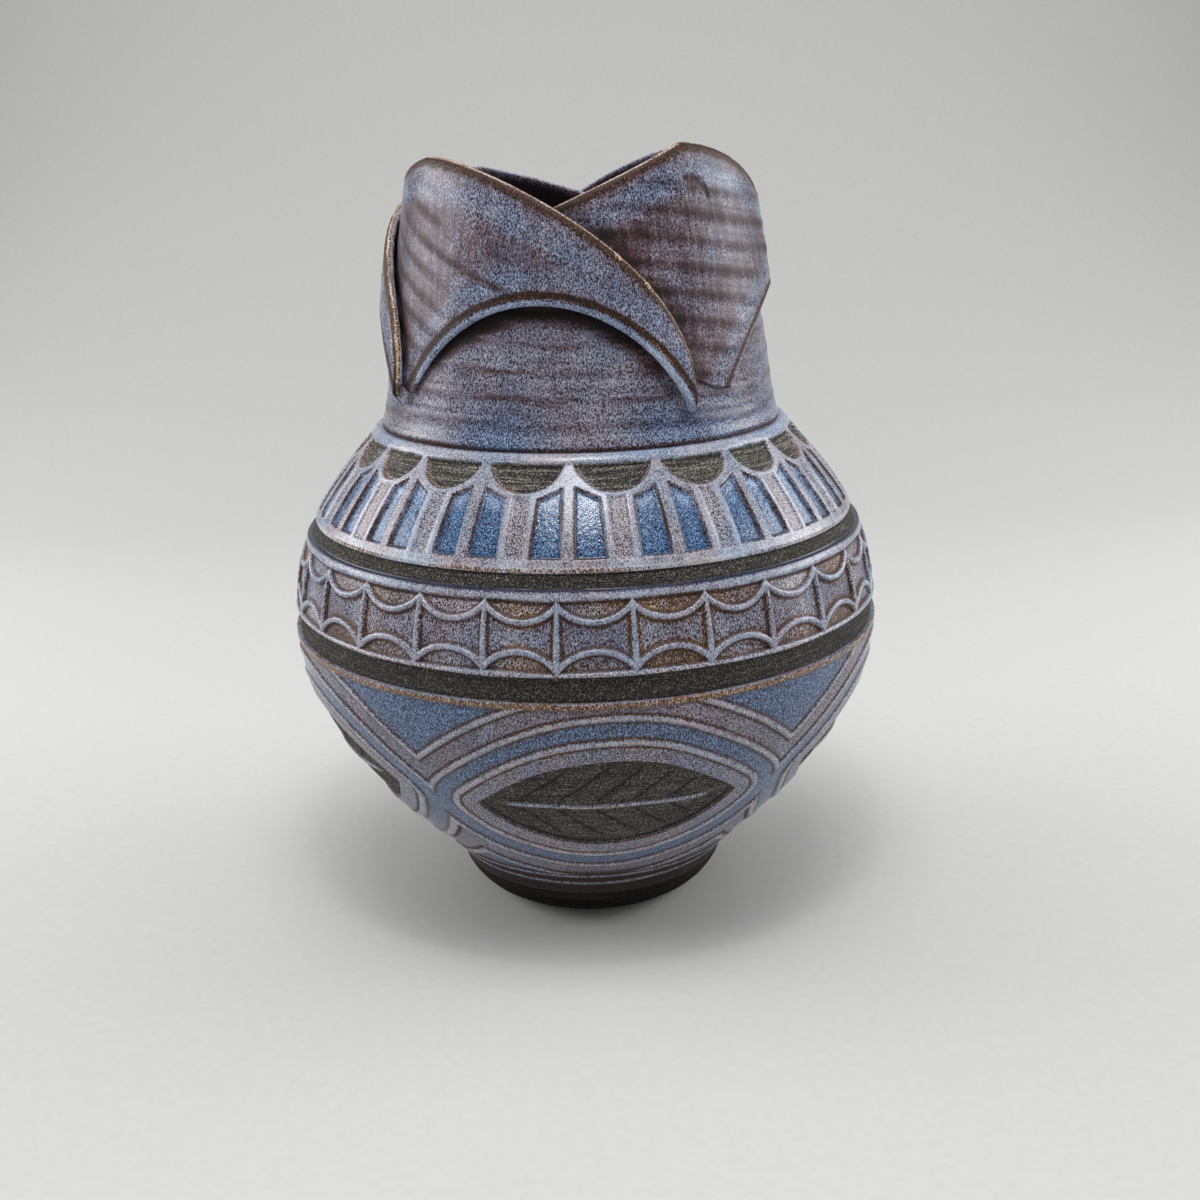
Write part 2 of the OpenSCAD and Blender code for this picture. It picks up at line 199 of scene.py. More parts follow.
def build(name, points, wrap_rows, marks, strips=1, ends=None, sharp=55):
    """A closed skin over a grid of points: rows x columns x 3, in millimetres.

    Columns close on themselves. Rows close too, or end in two single points. marks are
    the values that the materials read, one row of four per point.
    """
    rows, columns = points.shape[:2]
    co = points.reshape(-1, 3)
    marks = marks.reshape(-1, 4)
    last = rows if wrap_rows else rows - 1
    i, j = np.meshgrid(np.arange(last), np.arange(columns), indexing="ij")
    i, j = i.ravel(), j.ravel()
    up, along = (i + 1) % rows, (j + 1) % columns
    quads = np.stack([i * columns + j, i * columns + along, up * columns + along, up * columns + j], 1)
    per_strip = columns // strips
    u = (j % per_strip)[:, None] + np.array([0, 1, 1, 0])
    v = (i[:, None] + np.array([0, 0, 1, 1])) / last
    strip = (j // per_strip)[:, None]
    margin = 0.02
    uv_quads = np.stack(
        [mix(margin, 1 - margin, u / per_strip), (strip + mix(margin, 1 - margin, v)) / strips], -1
    )
    loops, starts, uvs = [quads.ravel()], [np.arange(len(quads)) * 4], [uv_quads.reshape(-1, 2)]
    if ends is not None:
        first = len(co)
        co = np.concatenate([co, ends])
        marks = np.concatenate([marks, marks[[0, -1]]])
        ring = np.arange(columns)
        around = (ring + 1) % columns
        low = np.stack([np.full(columns, first), around, ring], 1)
        top = (rows - 1) * columns
        high = np.stack([np.full(columns, first + 1), top + ring, top + around], 1)
        fans = np.concatenate([low, high])
        starts.append(len(quads) * 4 + np.arange(len(fans)) * 3)
        loops.append(fans.ravel())
        uvs.append(np.full((fans.size, 2), margin / 2))
    loops, starts, uvs = np.concatenate(loops), np.concatenate(starts), np.concatenate(uvs)
    mesh = bpy.data.meshes.new(name)
    mesh.vertices.add(len(co))
    mesh.vertices.foreach_set("co", (co * MM).astype(np.float32).ravel())
    mesh.loops.add(len(loops))
    mesh.loops.foreach_set("vertex_index", loops.astype(np.int32))
    mesh.polygons.add(len(starts))
    mesh.polygons.foreach_set("loop_start", starts.astype(np.int32))
    mesh.update(calc_edges=True)
    mesh.shade_smooth()
    mesh.set_sharp_from_angle(angle=math.radians(sharp))
    layer = mesh.uv_layers.new(name="OFBake")
    layer.uv.foreach_set("vector", uvs.astype(np.float32).ravel())
    data = mesh.attributes.new("marks", "FLOAT_COLOR", "POINT")
    data.data.foreach_set("color", marks.astype(np.float32).ravel())
    piece = bpy.data.objects.new(name, mesh)
    bpy.context.collection.objects.link(piece)
    return piece


def turned(r, z, phi):
    """Points of rows of radius and height, turned round the axis."""
    r, z, phi = np.broadcast_arrays(r, z, np.radians(phi))
    return np.stack([r * np.sin(phi), -r * np.cos(phi), z], -1)


def marks_of(shape, shade=0.0, iron=0.0, blue=0.0, clay=0.0):
    """What the glaze does at each point: paler or darker, from its thickness and from painted shade and
    highlight, iron brown, pooled blue, bare clay.
    """
    return np.stack([np.broadcast_to(v, shape) for v in (shade, iron, blue, clay)], -1)


def place(piece, nodes, material):
    """Gives a skin its material, and sets it on the vase in place of its CAD nodes."""
    piece.data.materials.append(material)
    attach(piece, "root")
    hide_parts(*nodes)


# Materials

def colour(code):
    """Linear colour of an sRGB hex code."""
    parts = [int(code[k:k + 2], 16) / 255 for k in (0, 2, 4)]
    return tuple(p / 12.92 if p <= 0.04045 else ((p + 0.055) / 1.055) ** 2.4 for p in parts) + (1.0,)


class Nodes:
    """Short words for building one material's node tree."""

    def __init__(self, name):
        self.material = bpy.data.materials.new(name)
        self.material.use_nodes = True
        self.tree = self.material.node_tree
        self.shader = self.tree.nodes["Principled BSDF"]
        self.spot = self.add("TexCoord").outputs["Object"]

    def add(self, kind, inputs=None, **settings):
        node = self.tree.nodes.new("ShaderNode" + kind)
        for key, value in settings.items():
            setattr(node, key, value)
        for key, value in (inputs or {}).items():
            self.set(node.inputs[key], value)
        return node

    def set(self, socket, value):
        if isinstance(value, bpy.types.NodeSocket):
            self.tree.links.new(value, socket)
        else:
            socket.default_value = value

    def noise(self, size, stretch=(1, 1, 1), detail=2.0, rough=0.5, shift=0.0):
        """Noise with grains of about size millimetres, longer where stretch is more."""
        scale = [1 / s for s in stretch]
        offset = (shift, shift, shift)
        moved = self.add("Mapping", {"Vector": self.spot, "Scale": scale, "Location": offset})
        inputs = {
            "Vector": moved.outputs[0],
            "Scale": 1 / (size * MM),
            "Detail": detail,
            "Roughness": rough,
        }
        return self.add("TexNoise", inputs).outputs["Fac"]

    def map(self, value, low, high, to_low=0.0, to_high=1.0):
        inputs = {"Value": value, "From Min": low, "From Max": high, "To Min": to_low, "To Max": to_high}
        return self.add("MapRange", inputs, interpolation_type="SMOOTHSTEP").outputs[0]

    def math(self, operation, a, b):
        return self.add("Math", {0: a, 1: b}, operation=operation).outputs[0]

    def blend(self, amount, a, b, how="MIX"):
        return self.add("Mix", {0: amount, 6: a, 7: b}, data_type="RGBA", blend_type=how).outputs[2]

    def between(self, amount, a, b):
        return self.add("Mix", {0: amount, 2: a, 3: b}, data_type="FLOAT").outputs[0]

    def ramp(self, value, stops):
        node = self.add("ValToRGB", {"Fac": value})
        band = node.color_ramp
        while len(band.elements) < len(stops):
            band.elements.new(0.5)
        for element, (position, code) in zip(band.elements, stops):
            element.position = position
            element.color = colour(code)
        return node.outputs["Color"]

    def bump(self, height, strength, depth):
        inputs = {"Height": height, "Strength": strength, "Distance": depth * MM}
        return self.add("Bump", inputs).outputs[0]

    def finish(self, **inputs):
        for key, value in inputs.items():
            self.set(self.shader.inputs[key.replace("_", " ")], value)
        return self.material


# Colours of the glaze: by how thick it lies, with painted shade and highlight added in, of its grain,
# where it pools, and where iron breaks through
GLAZE_STOPS = [
    (0.0, "301f22"), (0.2, "70575b"), (0.38, "9b92a0"), (0.5, "b2b4c6"),
    (0.66, "c3c7d4"), (0.85, "d7d9df"), (1.0, "eef2f8"),
]
TINT_STOPS = [(0.34, "fff0ee"), (0.5, "f7f6f8"), (0.66, "e4effc")]
GRAIN_STOPS = [(0.0, "38272a"), (0.35, "867c80"), (0.75, "e2e1e4"), (1.0, "ffffff")]
POOL_STOPS = [(0.0, "141e34"), (0.3, "3f6694"), (0.6, "729dd0"), (1.0, "d2dff3")]
IRON_STOPS = [(0.05, "190e0b"), (0.35, "3d271d"), (0.6, "6e4b32"), (0.85, "ae8d67"), (1.0, "dac9ae")]
CLAY_STOPS = [(0.2, "121110"), (0.5, "33302d"), (0.72, "5b5751"), (0.92, "a19a90")]


def glaze(name, streak, drift, gleam):
    """Speckled lavender-blue glaze that breaks to iron brown, pools blue and leaves clay bare."""
    n = Nodes(name)
    marks = n.add("Attribute", attribute_name="marks")
    parts = n.add("SeparateColor", {0: marks.outputs["Color"]})
    shade, iron, blue = parts.outputs
    clay = marks.outputs["Alpha"]
    fine = n.noise(0.33, (1, 1, 2.0), detail=1.0, rough=0.6)
    wide = n.noise(8, (1.8, 1.8, 1), detail=4.0, rough=0.65, shift=3.1)
    runs = n.noise(1.9, streak, detail=2.0, shift=7.7)
    # The marks' shade, painted shade and highlight among it, moves the glaze along its colours by
    # thickness
    thickness_and_shade = n.math("ADD", shade, n.map(wide, 0.3, 0.7, 0.5 - drift, 0.5 + drift))
    thickness_and_shade = n.math("ADD", thickness_and_shade, n.map(runs, 0.3, 0.7, -drift, drift))
    hue = n.ramp(n.noise(16, (1, 1, 1.5), detail=3.0, shift=6.3), TINT_STOPS)
    base = n.blend(1.0, n.ramp(thickness_and_shade, GLAZE_STOPS), hue, "MULTIPLY")
    pooled = n.math("ADD", shade, n.map(fine, 0.25, 0.75, 0.32, 0.68))
    base = n.blend(blue, base, n.ramp(pooled, POOL_STOPS))
    light = n.map(fine, 0.26, 0.74)
    base = n.blend(n.map(thickness_and_shade, 0.55, 0.95, 1.0, 0.35), base, n.ramp(light, GRAIN_STOPS), "MULTIPLY")
    broken = n.math("MULTIPLY", n.math("SUBTRACT", 0.5, light), 0.7)
    rust = n.math("ADD", n.math("MULTIPLY", shade, 0.7), n.map(fine, 0.25, 0.75, 0.05, 0.85))
    base = n.blend(n.map(n.math("ADD", iron, broken), 0.35, 0.65), base, n.ramp(rust, IRON_STOPS))
    comb = n.noise(0.45, (30, 30, 1), detail=3.0, shift=1.7)
    sand = n.noise(0.45, detail=2.0, rough=0.7, shift=5.2)
    combed = n.math("MULTIPLY", blue, n.map(comb, 0.3, 0.7, -0.2, 0.2))
    grit = n.math("ADD", n.map(sand, 0.22, 0.78, 0.0, 1.0), combed)
    grit = n.math("ADD", grit, shade)
    bare_amount = n.map(clay, 0.3, 0.7)
    base = n.blend(bare_amount, base, n.ramp(grit, CLAY_STOPS))
    dull = n.math("ADD", fine, n.math("MULTIPLY", iron, 0.5))
    satin = n.map(n.math("SUBTRACT", dull, shade), 0.2, 1.1, 0.15, 0.55)
    rough = n.between(bare_amount, n.between(blue, satin, 0.06), 0.88)
    pits = n.noise(1.3, detail=2.0, shift=9.4)
    glazed = n.math("ADD", fine, n.math("MULTIPLY", blue, n.math("MULTIPLY", pits, 3.5)))
    relief = n.between(bare_amount, glazed, n.math("MULTIPLY", grit, 2.4))
    normal = n.bump(relief, 0.4, 0.12)
    return n.finish(Base_Color=base, Roughness=rough, Normal=normal, Specular_IOR_Level=gleam)


def foot_clay():
    """Dark turned clay of the foot, blackened towards its base with painted shade, with fine turning
    lines.
    """
    n = Nodes("foot_clay")
    marks = n.add("Attribute", attribute_name="marks")
    rise = n.add("SeparateColor", {0: marks.outputs["Color"]}).outputs[0]
    turning = n.noise(0.6, (60, 60, 1), detail=3.0)
    sand = n.noise(0.5, detail=3.0, rough=0.7, shift=2.3)
    grit = n.math("ADD", n.map(turning, 0.3, 0.7, 0.0, 0.5), n.map(sand, 0.25, 0.75, 0.0, 0.5))
    low = n.ramp(grit, [(0.2, "020202"), (0.55, "060505"), (0.9, "15110f")])
    high = n.ramp(grit, [(0.2, "0d0a09"), (0.55, "241b17"), (0.9, "4a3a30")])
    rough = n.map(grit, 0.2, 0.8, 0.9, 0.7)
    # Painted shade: the clay is blended to its blacker colours towards the base
    base = n.blend(rise, low, high)
    normal = n.bump(grit, 0.5, 0.15)
    return n.finish(Base_Color=base, Roughness=rough, Normal=normal, Specular_IOR_Level=0.2)


# Carved bands. Each takes angles, heights, radii, steepness and, above the leaves, lengths up the
# skin, and gives how far the face stands out, and its marks

CARVE_DEPTH = 1.1
DISC_COUNT = 19
DISC_FALL = 2.2
DISC_Z = SHOULDER_Z - DISC_FALL
DISC_GAP = 2.4
DISC_DROP = 9.4
COLUMN_W = 9.0
COLUMN_BORDER = 1.8
BAR_W = 3.3
WINDOW_BAR_FALL = 7.3
WINDOW_COLUMN_FALL = 11.0
SILL_RISE = 3.2
SILL_Z = UPPER_STRIPE[1] + SILL_RISE
BAR_TURN = -1.9
BAR_SWING = 2.2
SWING_LOBES = 3
SWING_TURN = 3
# Share of the fall below a window's slanting top that lies square to it
SLANT_SHARE = 0.88
# Height of the bead under the groove, and depths of the columns' faces and of the worn lower edge
BEAD_H = 0.3
COLUMN_DEPTH = 0.35
EDGE_DEPTH = 0.55


def length_at(z):
    """Length up the skin to a height."""
    return np.interp(z, BELLY.z, BELLY.length)


def between_bars(phi):
    """Angle from the middle between the two nearest bars, and half the angle between them."""
    even = BAR_TURN + np.arange(DISC_COUNT + 1) * 360 / DISC_COUNT
    bars = even + BAR_SWING * np.sin(np.radians(SWING_LOBES * (even - SWING_TURN)))
    phi = bars[0] + (phi - bars[0]) % 360
    unit = np.searchsorted(bars[1:-1], phi, side="right")
    return phi - (bars[unit] + bars[unit + 1]) / 2, (bars[unit + 1] - bars[unit]) / 2


def hung_radius(width, drop):
    """Radius of the circle that hangs by a drop below a straight edge of that width."""
    return (width**2 / 4 + drop**2) / (2 * drop)


def shoulder_band(phi, z, r, steep, along):
    """Bare half-discs hung under the groove, on columns between glossy blue windows."""
    phi = phi + wander(1, phi, z, 0.3)
    turn, half = between_bars(phi)
    x = r * np.sin(np.radians(np.abs(turn))) + wander(2, phi, z, 0.2, (31, 47, 60), 4)
    to_bar = r * np.sin(np.radians(half - np.abs(turn))) - BAR_W / 2
    to_column = x - COLUMN_W / 2
    fall = length_at(DISC_Z) - along + wander(3, phi, z, 0.25, (11, 23, 38), 9)
    width = 2 * BELLY.radius(DISC_Z) * np.sin(np.radians(half)) - DISC_GAP
    hang = hung_radius(width, DISC_DROP)
    disc = hang - np.hypot(x, fall - DISC_DROP + hang)
    bare = np.minimum(disc, fall)
    share = np.clip(to_column / (to_column + to_bar), 0, 1)
    slant = SLANT_SHARE * (fall - mix(WINDOW_COLUMN_FALL, WINDOW_BAR_FALL, share))
    window = least(to_bar, to_column, slant, (z - SILL_Z) / steep)
    column = least(-COLUMN_BORDER - to_column, -0.8 - disc, (z - SILL_Z) / steep + 0.5)
    bead = smooth(-fall, 0.0, 0.7)
    edge = (z - UPPER_STRIPE[1]) / steep
    out = BEAD_H * line(fall + 1.5, 2.4, 0.9) - CARVE_DEPTH * smooth(window, -0.2, 0.7)
    out = out - CARVE_DEPTH * smooth(bare, -0.15, 0.5) - COLUMN_DEPTH * smooth(column, -0.2, 1.0)
    out = out - EDGE_DEPTH * (1 - smooth(edge, 0, 1.0))
    rim_w = mix(1.1, 0.5, smooth(turn, -5, 5)) + wander(13, phi, z, 0.4, (29, 43, 61), 5)
    rim = smooth(bare, -0.1, 0.15) * (1 - smooth(disc, rim_w - 0.2, rim_w + 0.2))
    broken = np.clip(0.7 + wander(18, phi, z, 0.9, (37, 53, 71), 3), 0.15, 1)
    outline = line(window - 0.05, 0.6, 0.25) * broken
    bar = smooth(-to_bar, 0.1, 0.6) * smooth(fall, 8, 10)
    sunk = smooth(window, -0.1, 0.3)
    panel = smooth(column, -0.2, 0.4)
    border = (1 - smooth(to_column, -0.2, 0.1)) * (1 - panel) * smooth(fall, 8, 10)
    shade = 0.21 - 0.05 * panel + 0.06 * border - 0.06 * bar + 0.04 * bead
    # Windows: darker blue towards their edges, where the glaze pools deeper, and paler under their
    # slanting tops, partly a painted highlight
    pooled = 0.22 * (1 - smooth(window, 0.4, 2.4)) - 0.26 * (1 - smooth(slant, 0.5, 7.0))
    shade = shade - 0.3 * outline - 0.16 * sunk - sunk * pooled
    worn = np.clip(0.5 + wander(16, phi, 0 * z, 0.7, (3, 7, 13)), 0.1, 1)
    shade = shade + 0.15 * line(edge - 0.7, 1.2, 0.4) - 0.1 * rim
    iron = np.maximum(0.9 * outline, 0.85 * rim) + 0.42 * panel
    iron = np.maximum(iron, 0.75 * worn * line(edge - 0.5, 1.3, 0.4))
    deep = bead * np.clip(0.3 + wander(14, phi, z, 0.9, (2, 5, 9)), 0, 0.8)
    clay = smooth(disc - rim_w, -0.1, 0.15) * smooth(fall, -0.1, 0.2)
    blue = most(mix(0.25 * border, 1.0, smooth(window, 0.3, 0.7)), deep, clay)
    shade = mix(shade, 0.06, clay)
    return out, marks_of(out.shape, shade, iron, blue, clay)


PANEL_COUNT = 28
PANEL_TURN = 2.2
PANEL_RIDGE = 2.4
PANEL_RIDGE_H = 0.2
UPPER_RAIL_W = 2.4
LOWER_RAIL_W = 1.6
PANEL_TOP = UPPER_STRIPE[0] - UPPER_RAIL_W
PANEL_LOW = LOWER_STRIPE[1] + LOWER_RAIL_W
SWAG_DROP = 4.3
ARCH_RISE = 4.1


def panel_band(phi, z, r, along):
    """Panels between upright ridges, each with a hanging swag above and an arch below."""
    phi = phi + wander(4, phi, 0 * z, 0.5, (3, 5, 8)) + wander(5, phi, z, 0.12, (17, 29), 6)
    middle, tall = (PANEL_TOP + PANEL_LOW) / 2, (PANEL_TOP - PANEL_LOW) / 2
    x = r * np.sin(np.radians(np.abs(repeat(phi, PANEL_COUNT, PANEL_TURN))))
    y = along - length_at(middle) + wander(6, phi, 0 * z, 0.3, (9, 13, 22))
    width = 2 * BELLY.radius(middle) * math.sin(math.pi / PANEL_COUNT) - PANEL_RIDGE
    swag_r, arch_r = hung_radius(width, SWAG_DROP), hung_radius(width, ARCH_RISE)
    swag = np.hypot(x, y - tall + SWAG_DROP - swag_r) - swag_r
    arch = np.hypot(x, y + tall - ARCH_RISE + arch_r) - arch_r
    pocket = np.maximum(np.minimum(-swag, tall - y), np.minimum(-arch, y + tall))
    field = least(width / 2 - x, swag - PANEL_RIDGE, arch - PANEL_RIDGE, tall - PANEL_RIDGE - np.abs(y))
    inside = np.maximum(pocket, field)
    ridge = 1 - smooth(inside, -0.6, -0.15)
    out = PANEL_RIDGE_H * smooth(-inside, 0.3, 1.1) - CARVE_DEPTH * smooth(inside, -0.7, 0.35)
    burnt = np.clip(0.8 + wander(15, phi, z, 0.5, (3, 7, 11, 16), 6), 0.4, 1)
    rust = line(inside - 0.2, 1.3, 0.45)
    trench = line(inside - 0.05, 0.7, 0.3)
    warm = smooth(pocket, 0.2, 0.8) * (1 - smooth(np.minimum(-swag, -arch), 1.0, 3.0))
    iron = np.maximum(rust, 0.75 * smooth(pocket, 0.1, 0.6)) * burnt
    stained = burnt * smooth(field, 0.2, 0.8) * mix(0.4, 0.22, smooth(field, 1.5, 3.5))
    iron = most(iron, 0.8 * trench, stained)
    dusk = wander(17, phi, z, 0.16, (13, 21, 34), 5)
    shade = mix(0.04 + dusk, 0.24, ridge) + 0.03 * rust - 0.3 * trench + 0.1 * warm
    return out, marks_of(out.shape, shade, iron, 0.25 * ridge)


def middle_bands(phi, z, r, _, along):
    """The panel band between the two bare stripes."""
    out, marks = panel_band(phi, z, r, along)
    low_edge = LOWER_STRIPE[1] - z + wander(8, phi, 0 * z, 0.2, (5, 9, 14))
    high_edge = z - UPPER_STRIPE[0] + wander(9, phi, 0 * z, 0.2, (4, 7, 12))
    tan = line(low_edge + 0.5, 0.9)
    marks = mix(marks, marks_of(out.shape, 0.35, 0.55), 0.8 * tan[..., None])
    bare = np.maximum(smooth(low_edge, -0.25, 0.25), smooth(high_edge, -0.25, 0.25))
    marks = mix(marks, marks_of(out.shape, shade=-0.06, blue=0.4, clay=1.0), bare[..., None])
    ink = line(high_edge - 0.1, 1.1, 0.3)
    marks = mix(marks, marks_of(out.shape, -0.45, 0.2, 0.5), 0.9 * ink[..., None])
    out = mix(out, -STRIPE_DEPTH, bare)
    return out, marks


LEAF_COUNT = 5
LEAF_TURN = 4
LEAF_L = 74
LEAF_H = 35
LEAF_FALL = 36
LEAF_Z = LOWER_STRIPE[0] - LEAF_FALL
LEAF_BORDER = 6.5
ECHO_LINES = (14.0, 22.0)
BASE_LINES = (18.0, 22.5)
VEIN_STEP = 11.0
VEIN_SLANT = 1.1
VEIN_DEPTH = 0.35
RIB_H = 0.7
LEAF_RIDGE_H = 0.3
GROUND_DEPTH = 0.2


def leaf_distance(x, y):
    """Distance outside a leaf with two pointed ends, along x."""
    x, y = np.abs(x), np.abs(y)
    long, high = LEAF_L / 2, LEAF_H / 2
    radius = (long**2 + high**2) / (2 * high)
    sunk = radius - high
    tip = np.hypot(x - long, y)
    side = np.hypot(x, y + sunk) - radius
    return np.where((x - long) * sunk > y * long, tip, side)


def leaf_veins(x, y, inside):
    """A raised rib along a leaf, and the scratched veins that leave it."""
    rib = line(y, 1.5, 0.45) * smooth(LEAF_L / 2 - 5 - np.abs(x), 0, 6)
    along = (x - VEIN_SLANT * np.abs(y)) % VEIN_STEP - VEIN_STEP / 2
    veins = line(along / math.hypot(1, VEIN_SLANT), 0.8, 0.3)
    return rib, veins * smooth(inside, 2.0, 3.5) * smooth(np.abs(y), 1.6, 2.4)


def leaf_band(phi, z, r, steep):
    """A chain of bare veined leaves in pale borders, with echo lines above and below."""
    phi = phi + wander(10, phi, z, 0.5)
    x = r * np.sin(np.radians(repeat(phi, LEAF_COUNT, LEAF_TURN)))
    y = z - LEAF_Z + wander(11, phi, z, 0.4, (7, 13, 19), 11)
    away = leaf_distance(x, y)
    rib, veins = leaf_veins(x, y, -away)
    ridges = line(away - LEAF_BORDER, 1.9, 0.5)
    for far in ECHO_LINES:
        ridges = np.maximum(ridges, line(away - far, 1.7, 0.5))
    base = 0 * away
    for height in BASE_LINES:
        base = np.maximum(base, line((z - height) / steep + wander(12, phi, 0 * z, 0.4), 1.6, 0.5))
    ground = smooth(z - BASE_LINES[1], 0.5, 2.0)
    rim = smooth(z - LOWER_STRIPE[0] + 2.2, 0, 0.8)
    ridges = least(np.ones_like(ridges), ridges * ground + base + rim)
    border = smooth(-away, -LEAF_BORDER + 0.8, -LEAF_BORDER + 1.6)
    bare = smooth(-away, 0.0, 0.4) * (1 - rib)
    first = smooth(away, LEAF_BORDER, LEAF_BORDER + 0.6)
    first = first * (1 - smooth(away, ECHO_LINES[0] - 0.6, ECHO_LINES[0]))
    outer = smooth(away, ECHO_LINES[1], ECHO_LINES[1] + 0.6)
    blue = 0.75 * np.maximum(first, outer) * ground * (1 - ridges)
    sunk = smooth(-away, -0.2, 0.5)
    out = LEAF_RIDGE_H * ridges - GROUND_DEPTH * (1 - ridges) * (1 - border) - CARVE_DEPTH * sunk
    out = out + RIB_H * rib * sunk - VEIN_DEPTH * veins
    edge = np.maximum(0.9 * line(away + 0.1, 0.9), 0.95 * line(np.abs(away - LEAF_BORDER) - 1.3, 1.0))
    for far in ECHO_LINES:
        edge = np.maximum(edge, 0.95 * line(np.abs(away - far) - 1.2, 1.0) * ground)
    worn_base = 1 - smooth(z - BASE_LINES[1], -1.0, 5.0)
    edge = np.maximum(edge, 0.9 * worn_base * (1 - 0.7 * base))
    edge = np.maximum(edge, 0.8 * line((z - LOWER_STRIPE[0]) / steep + 1.1, 2.4, 0.8))
    shade = -0.02 + 0.26 * ridges + 0.08 * border * (1 - bare)
    # The scratched veins are darkened with painted shade
    shade = shade - 0.25 * veins - 0.25 * edge * (1 - ridges)
    shade = shade - 0.25 * worn_base * (1 - base) - 0.15 * worn_base + 0.12 * rib
    edge = np.maximum(edge, 0.25 * border) * (1 - 0.7 * ridges * (1 - rim)) * (1 - bare)
    return out, marks_of(out.shape, shade, edge, np.maximum(blue, 0.6 * bare), bare)


# Pieces of the body

def wall_rows(z_high, z_low, step=3.0):
    """Rows of the inside wall, from the top down."""
    r, z, out_r, out_z, _ = BELLY.rows(z_low, z_high, step)
    inside = np.stack([r - BODY_WALL * out_r, z - BODY_WALL * out_z], 1)
    return inside[::-1]


def inside_shade_marks(shape):
    """Marks of painted shade that make the inside of the vase near black."""
    return marks_of(shape, shade=-0.7, blue=0.2)


def plain(rows, phi):
    """Points and marks of uncarved rows inside the vase, darkened with painted shade."""
    rows = np.asarray(rows, float)
    points = turned(rows[:, :1], rows[:, 1:], phi)
    return points, inside_shade_marks(points.shape[:2])


def ring_piece(name, z_low, z_high, carve, columns, step, strips, top_rows=()):
    """A stretch of the body wall, carved outside and plain inside."""
    phi = all_round(columns)
    r, z, out_r, out_z, along = (v[:, None] for v in BELLY.rows(z_low, z_high, step))
    out, marks = carve(phi, z, r, out_r, along)
    face = turned(r + out * out_r, z + out * out_z, phi)
    back, back_marks = plain([*top_rows, *wall_rows(z_high, z_low)], phi)
    points, marks = np.concatenate([face, back]), np.concatenate([marks, back_marks])
    return build(name, points, True, marks, strips)


def belly_piece(columns=1200, step=0.5):
    """The lower body with its floor, from the foot to the lower stripe."""
    phi = all_round(columns)
    r, z, out_r, out_z, _ = (v[:, None] for v in BELLY.rows(FOOT_H, LOWER_STRIPE[0], step))
    out, marks = leaf_band(phi, z, r, out_r)
    out = out * smooth(z, FOOT_H, FOOT_H + 1)
    face = turned(r + out * out_r, z + out * out_z, phi)
    floor_z = FOOT_H + FLOOR_T
    inside = [row for row in wall_rows(LOWER_STRIPE[0], FOOT_H) if row[1] > floor_z + 1]
    floor_r = inside[-1][0] - 2
    floor = [(floor_r * s, floor_z) for s in (1, 0.75, 0.5, 0.25, 0.05)]
    under = [(FOOT_TOP_R * s, FOOT_H) for s in (0.05, 0.35, 0.7, 0.97)]
    bottom, bottom_marks = plain(under, phi)
    back, back_marks = plain([*inside, *floor], phi)
    points = np.concatenate([bottom, face, back])
    marks = np.concatenate([bottom_marks, marks, back_marks])
    ends = np.array([(0, 0, FOOT_H), (0, 0, floor_z)])
    return build("belly", points, False, marks, 5, ends=ends)


# Foot, collar and petals

TURNING_DEPTH = 0.12
TURNING_RATE = 3.1


def foot_piece(columns=480):
    """The turned ring under the vase, with soft turning lines up its side."""
    phi = all_round(columns)
    side = bezier(FOOT_SIDE, np.linspace(0, 1, 40))
    rows = np.concatenate([
        [(FOOT_HOLLOW_R, FOOT_H), (FOOT_HOLLOW_R, FOOT_EDGE), (FOOT_HOLLOW_R + FOOT_EDGE, 0)],
        [(FOOT_BASE_R - FOOT_EDGE, 0)],
        side,
    ])
    r, z = rows[:, :1], rows[:, 1:]
    lines = TURNING_DEPTH * np.sin(z * TURNING_RATE) * smooth(z, 2, 4)
    lines = lines * (1 - smooth(z, 11.5, 12.5)) * (r > FOOT_BASE_R)
    points = turned(r + lines + 0 * phi, z, phi)
    # The foot's marks lead it to blacker colours towards its base: painted shade
    marks = marks_of(points.shape[:2], smooth(z, 6, 16))
    return build("foot", points, True, marks, 2, sharp=40)


RING_STEP = 7.3
COLLAR_RING_H = 0.22
GROOVE_DEPTH = 0.7
SHADOW_REACH = 7.0
# Rise of the slip that fills the gap from the collar's top out to the petals, and the columns that
# soften its outline
SLIP_RISE = 8.0
REACH_SOFT = 10


def throwing_rings(level, seed, phi, z, fine, change):
    """Soft ridges that the fingers left, 0 to 1, fading in and out round the neck.

    Rings are thinner where fine is more, and fade more where change is more.
    """
    drift = wander(seed, phi, z, 1.6, (1, 2, 3, 5), 40)
    turn = 2 * math.pi * (level + drift) / RING_STEP
    strong = (0.5 + 0.5 * np.cos(turn)) ** fine
    weak = 0.4 * (0.5 + 0.5 * np.cos(2 * turn + 1.1)) ** 5
    strength = 1 - 0.6 * change + wander(seed + 1, phi, z, change, (2, 3, 4, 7), 9)
    return np.maximum(strong, weak) * np.clip(strength, 0, 1)


def shadow_under_crescents(phi, height):
    """How much painted shadow a point of the collar takes under the crescents' edges, 1 at the edge and
    fading.
    """
    deep = 0
    for petal in PETALS.values():
        lower, _ = petal_edges(petal)
        angle = angle_from(phi, petal.turn)
        crescent = lower[SIDE_STATIONS - 1:]
        edge = np.interp(angle, crescent[:, 0], crescent[:, 1], left=0, right=0)
        gap = edge - height
        crown = smooth(edge, CORNER_H, CRESCENT_H)
        deep = np.maximum(deep, (gap > -8) * (1 - smooth(gap, 0.5, SHADOW_REACH)) * crown)
    return deep


